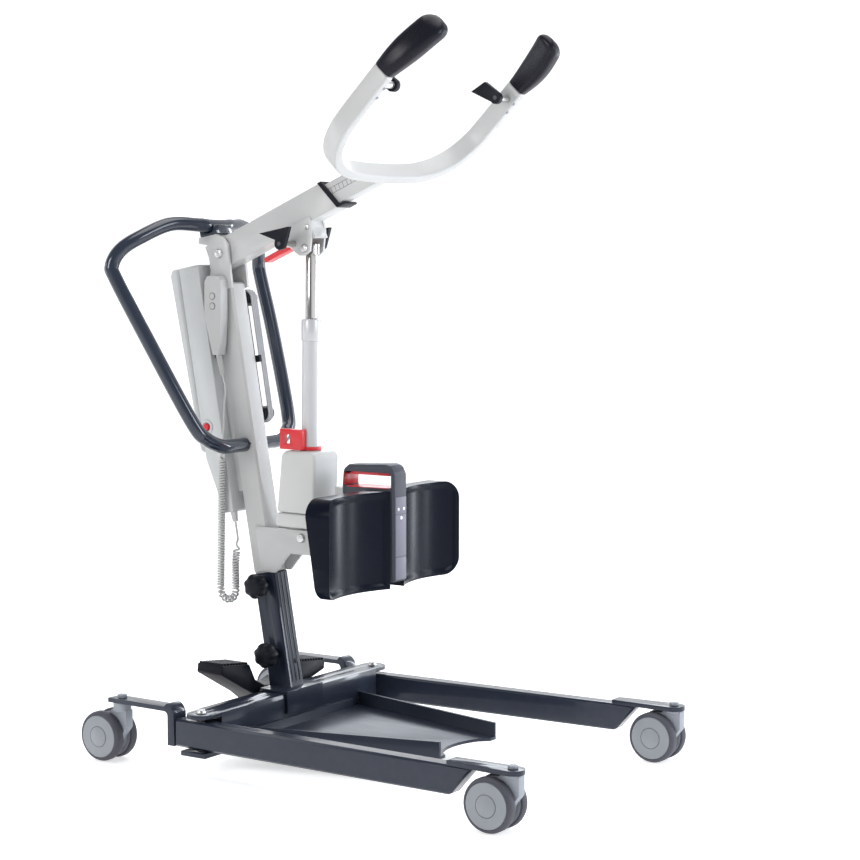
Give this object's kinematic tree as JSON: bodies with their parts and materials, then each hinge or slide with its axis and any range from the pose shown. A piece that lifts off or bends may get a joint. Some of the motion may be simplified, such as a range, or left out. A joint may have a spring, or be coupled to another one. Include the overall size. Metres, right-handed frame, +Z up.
{
  "type": "sit-to-stand lift",
  "caption": "Mobile sit-to-stand patient lift with spreading legs on castors, leaning mast, powered boom with U-shaped grip arm, knee pads, foot tray and wired hand control",
  "frame": {"origin": "centre of the footprint's bounding box, on the floor", "axes": "+X forward to the person being lifted, +Y to the lift's left, +Z up"},
  "size_m": [1.0322, 0.685, 1.4375],
  "materials": {
    "light_grey_paint": "satin light grey paint",
    "navy_paint": "satin dark navy-grey paint",
    "handle_paint": "glossy dark blue-grey paint",
    "white_plastic": "fine matte white plastic",
    "box_plastic": "fine matte light grey plastic",
    "red_plastic": "satin red plastic",
    "knee_plastic": "matte dark grey plastic",
    "pad_foam": "satin integral-skin foam",
    "castor_plastic": "matte grey plastic",
    "wheel_rubber": "matte grey rubber tread",
    "zinc": "zinc-plated steel",
    "chrome": "hard chrome",
    "cord_plastic": "soft light grey cable sheath",
    "black_plastic": "fine matte black plastic"
  },
  "bodies": {
    "base": {"cross_beam": "navy_paint", "mast_socket": "navy_paint", "footplate": "navy_paint", "pivot_bolt_left": "zinc", "pivot_bolt_right": "zinc"},
    "leg_left": {"leg_left": "navy_paint"},
    "tie_left": {"tie_bar_left": "zinc"},
    "castor_front_left": {"castor_front_left": "castor_plastic"},
    "wheel_front_left_inner": {"wheel_front_left_inner": "wheel_rubber"},
    "wheel_front_left_outer": {"wheel_front_left_outer": "wheel_rubber"},
    "castor_rear_left": {"castor_rear_left": "castor_plastic"},
    "wheel_rear_left_inner": {"wheel_rear_left_inner": "wheel_rubber"},
    "wheel_rear_left_outer": {"wheel_rear_left_outer": "wheel_rubber"},
    "brake_left": {"brake_tab_rear_left": "castor_plastic"},
    "leg_right": {"leg_right": "navy_paint"},
    "tie_right": {"tie_bar_right": "zinc"},
    "castor_front_right": {"castor_front_right": "castor_plastic"},
    "wheel_front_right_inner": {"wheel_front_right_inner": "wheel_rubber"},
    "wheel_front_right_outer": {"wheel_front_right_outer": "wheel_rubber"},
    "castor_rear_right": {"castor_rear_right": "castor_plastic"},
    "wheel_rear_right_inner": {"wheel_rear_right_inner": "wheel_rubber"},
    "wheel_rear_right_outer": {"wheel_rear_right_outer": "wheel_rubber"},
    "brake_right": {"brake_tab_rear_right": "castor_plastic"},
    "pedal": {"pedal_rocker": "black_plastic"},
    "mast": {"mast_column": "light_grey_paint", "push_handle": "handle_paint", "handle_clamp": "handle_paint", "boom_pivot_bolt": "zinc", "actuator_foot_bolt": "zinc", "control_box": "box_plastic", "handset": "box_plastic", "handset_cord": "cord_plastic", "cable_hanger": "black_plastic", "charger_cable": "cord_plastic"},
    "knob_lower": {"knob_lower": "black_plastic"},
    "knob_upper": {"knob_upper": "black_plastic"},
    "boom": {"boom_tube": "light_grey_paint", "boom_collar": "black_plastic", "clevis_pin": "zinc", "boom_hook_left": "black_plastic", "boom_hook_right": "black_plastic"},
    "arm": {"inner_tube": "light_grey_paint", "u_arm": "light_grey_paint", "grip_left": "black_plastic", "grip_right": "black_plastic", "sling_hook_left": "black_plastic", "sling_hook_right": "black_plastic"},
    "lever": {"release_lever": "red_plastic"},
    "actuator": {"actuator_housing": "white_plastic", "actuator_tube": "white_plastic"},
    "rod": {"actuator_rod": "chrome"},
    "release": {"emergency_release": "red_plastic"},
    "knee": {"knee_spine": "knee_plastic", "knee_pad_left": "pad_foam", "knee_pad_right": "pad_foam"},
    "trigger": {"knee_trigger": "red_plastic"},
    "battery": {"battery_pack": "box_plastic"},
    "stop": {"emergency_stop": "red_plastic"},
    "key_up": {"handset_key_up": "box_plastic"},
    "key_down": {"handset_key_down": "box_plastic"}
  },
  "joints": [
    {"name": "leg_left_spread", "type": "hinge", "parent": "base", "child": "leg_left", "pos_m": [-0.2225, 0.28885, 0.08], "axis": [0, 0, 1], "range_deg": [0, 11.5]},
    {"name": "tie_left_push", "type": "slide", "parent": "base", "child": "tie_left", "axis": [0, 1, 0], "range_m": [0, 0.0081]},
    {"name": "castor_front_left_swivel", "type": "hinge", "parent": "leg_left", "child": "castor_front_left", "pos_m": [0.4941, 0.309, 0.09], "axis": [0, 0, 1], "continuous": true},
    {"name": "wheel_front_left_inner_roll", "type": "hinge", "parent": "castor_front_left", "child": "wheel_front_left_inner", "pos_m": [0.4584, 0.309, 0.05], "axis": [0, 1, 0], "continuous": true},
    {"name": "wheel_front_left_outer_roll", "type": "hinge", "parent": "castor_front_left", "child": "wheel_front_left_outer", "pos_m": [0.4584, 0.309, 0.05], "axis": [0, 1, 0], "continuous": true},
    {"name": "castor_rear_left_swivel", "type": "hinge", "parent": "leg_left", "child": "castor_rear_left", "pos_m": [-0.4304, 0.283, 0.09], "axis": [0, 0, 1], "continuous": true},
    {"name": "wheel_rear_left_inner_roll", "type": "hinge", "parent": "castor_rear_left", "child": "wheel_rear_left_inner", "pos_m": [-0.4661, 0.283, 0.05], "axis": [0, 1, 0], "continuous": true},
    {"name": "wheel_rear_left_outer_roll", "type": "hinge", "parent": "castor_rear_left", "child": "wheel_rear_left_outer", "pos_m": [-0.4661, 0.283, 0.05], "axis": [0, 1, 0], "continuous": true},
    {"name": "brake_left_press", "type": "hinge", "parent": "castor_rear_left", "child": "brake_left", "pos_m": [-0.4921, 0.283, 0.072], "axis": [0, -1, 0], "range_deg": [0, 15]},
    {"name": "leg_right_spread", "type": "hinge", "parent": "base", "child": "leg_right", "pos_m": [-0.2225, -0.28885, 0.08], "axis": [0, 0, 1], "range_deg": [-11.5, 0]},
    {"name": "tie_right_push", "type": "slide", "parent": "base", "child": "tie_right", "axis": [0, -1, 0], "range_m": [0, 0.0081]},
    {"name": "castor_front_right_swivel", "type": "hinge", "parent": "leg_right", "child": "castor_front_right", "pos_m": [0.4941, -0.309, 0.09], "axis": [0, 0, 1], "continuous": true},
    {"name": "wheel_front_right_inner_roll", "type": "hinge", "parent": "castor_front_right", "child": "wheel_front_right_inner", "pos_m": [0.4584, -0.309, 0.05], "axis": [0, 1, 0], "continuous": true},
    {"name": "wheel_front_right_outer_roll", "type": "hinge", "parent": "castor_front_right", "child": "wheel_front_right_outer", "pos_m": [0.4584, -0.309, 0.05], "axis": [0, 1, 0], "continuous": true},
    {"name": "castor_rear_right_swivel", "type": "hinge", "parent": "leg_right", "child": "castor_rear_right", "pos_m": [-0.4304, -0.283, 0.09], "axis": [0, 0, 1], "continuous": true},
    {"name": "wheel_rear_right_inner_roll", "type": "hinge", "parent": "castor_rear_right", "child": "wheel_rear_right_inner", "pos_m": [-0.4661, -0.283, 0.05], "axis": [0, 1, 0], "continuous": true},
    {"name": "wheel_rear_right_outer_roll", "type": "hinge", "parent": "castor_rear_right", "child": "wheel_rear_right_outer", "pos_m": [-0.4661, -0.283, 0.05], "axis": [0, 1, 0], "continuous": true},
    {"name": "brake_right_press", "type": "hinge", "parent": "castor_rear_right", "child": "brake_right", "pos_m": [-0.4921, -0.283, 0.072], "axis": [0, -1, 0], "range_deg": [0, 15]},
    {"name": "pedal_rock", "type": "hinge", "parent": "base", "child": "pedal", "pos_m": [-0.3025, 0, 0.1], "axis": [1, 0, 0], "range_deg": [0, 14.2]},
    {"name": "mast_lift_out", "type": "slide", "parent": "base", "child": "mast", "axis": [-0.1736, 0, 0.9848], "range_m": [0, 0.1]},
    {"name": "knob_lower_turn", "type": "hinge", "parent": "base", "child": "knob_lower", "pos_m": [-0.24735, -0.024, 0.19488], "axis": [0, 1, 0], "range_deg": [0, 360]},
    {"name": "knob_upper_turn", "type": "hinge", "parent": "base", "child": "knob_upper", "pos_m": [-0.27201, -0.024, 0.33472], "axis": [0, 1, 0], "range_deg": [0, 360]},
    {"name": "boom_raise", "type": "hinge", "parent": "mast", "child": "boom", "pos_m": [-0.38076, 0, 1.00908], "axis": [0, -1, 0], "range_deg": [-25.78, 11.46]},
    {"name": "arm_extend", "type": "slide", "parent": "boom", "child": "arm", "axis": [0.9198, 0, 0.3923], "range_m": [-0.04, 0.08]},
    {"name": "lever_squeeze", "type": "hinge", "parent": "boom", "child": "lever", "pos_m": [-0.20727, 0, 1.03742], "axis": [0, 1, 0], "range_deg": [0, 7], "stiffness_Nm_per_rad": 0.5},
    {"name": "actuator_tilt", "type": "hinge", "parent": "mast", "child": "actuator", "pos_m": [-0.1739, 0, 0.43772], "axis": [0, 1, 0], "range_deg": [-0.7, 0.32]},
    {"name": "rod_extend", "type": "slide", "parent": "actuator", "child": "rod", "axis": [0.0139, 0, 0.9999], "range_m": [-0.0975, 0.044]},
    {"name": "release_turn", "type": "hinge", "parent": "actuator", "child": "release", "pos_m": [-0.1739, 0, 0.43772], "axis": [0.0139, 0, 0.9999], "range_deg": [0, 60]},
    {"name": "knee_lift", "type": "slide", "parent": "mast", "child": "knee", "axis": [0, 0, 1], "range_m": [0, 0.04]},
    {"name": "trigger_pull", "type": "slide", "parent": "knee", "child": "trigger", "axis": [0, 0, 1], "range_m": [0, 0.005], "stiffness_N_per_m": 150},
    {"name": "battery_lift", "type": "slide", "parent": "mast", "child": "battery", "axis": [-0.1736, 0, 0.9848], "range_m": [0, 0.05]},
    {"name": "stop_push", "type": "slide", "parent": "mast", "child": "stop", "axis": [0, 1, 0], "range_m": [0, 0.003]},
    {"name": "key_up_press", "type": "slide", "parent": "mast", "child": "key_up", "axis": [0, 1, 0], "range_m": [0, 0.001], "stiffness_N_per_m": 300},
    {"name": "key_down_press", "type": "slide", "parent": "mast", "child": "key_down", "axis": [0, 1, 0], "range_m": [0, 0.001], "stiffness_N_per_m": 300}
  ],
  "couplings": [
    {"joint": "leg_right_spread", "follows": "leg_left_spread", "ratio": -1},
    {"joint": "pedal_rock", "follows": "leg_left_spread", "ratio": 1.22},
    {"joint": "tie_left_push", "follows": "leg_left_spread", "m_per_rad": 0.04},
    {"joint": "tie_right_push", "follows": "leg_left_spread", "m_per_rad": 0.04},
    {"joint": "actuator_tilt", "follows": "boom_raise", "ratio": 0.025},
    {"joint": "rod_extend", "follows": "boom_raise", "m_per_rad": 0.212}
  ]
}
